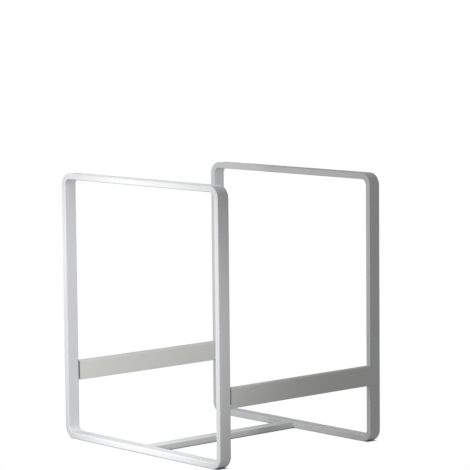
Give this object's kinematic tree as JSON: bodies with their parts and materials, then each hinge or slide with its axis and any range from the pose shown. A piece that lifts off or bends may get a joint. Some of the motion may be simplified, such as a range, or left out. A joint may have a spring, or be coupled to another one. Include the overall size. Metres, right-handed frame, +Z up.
{
  "type": "vertical plate organizer",
  "caption": "Free-standing rack of white-coated flat steel strip: rectangular end loops joined by side rails and a base spine, holding dinner plates upright.",
  "frame": {"origin": "on the surface the rack stands on, under the middle of its outline", "axes": "+Z up, +Y towards the rear loop, +X to the right seen from the front"},
  "size_m": [0.16, 0.142, 0.18],
  "materials": {
    "coated_strip": "satin white powder coat on flat steel strip",
    "coated_weld": "satin white powder coat over a dressed weld"
  },
  "bodies": {
    "root": {"front_frame": "coated_strip", "rear_frame": "coated_strip", "front_frame_seam_weld": "coated_weld", "rear_frame_seam_weld": "coated_weld", "left_rail": "coated_strip", "right_rail": "coated_strip", "base_spine": "coated_strip", "left_rail_front_weld": "coated_weld", "left_rail_rear_weld": "coated_weld", "right_rail_front_weld": "coated_weld", "right_rail_rear_weld": "coated_weld", "base_spine_front_weld": "coated_weld", "base_spine_rear_weld": "coated_weld"}
  },
  "joints": []
}
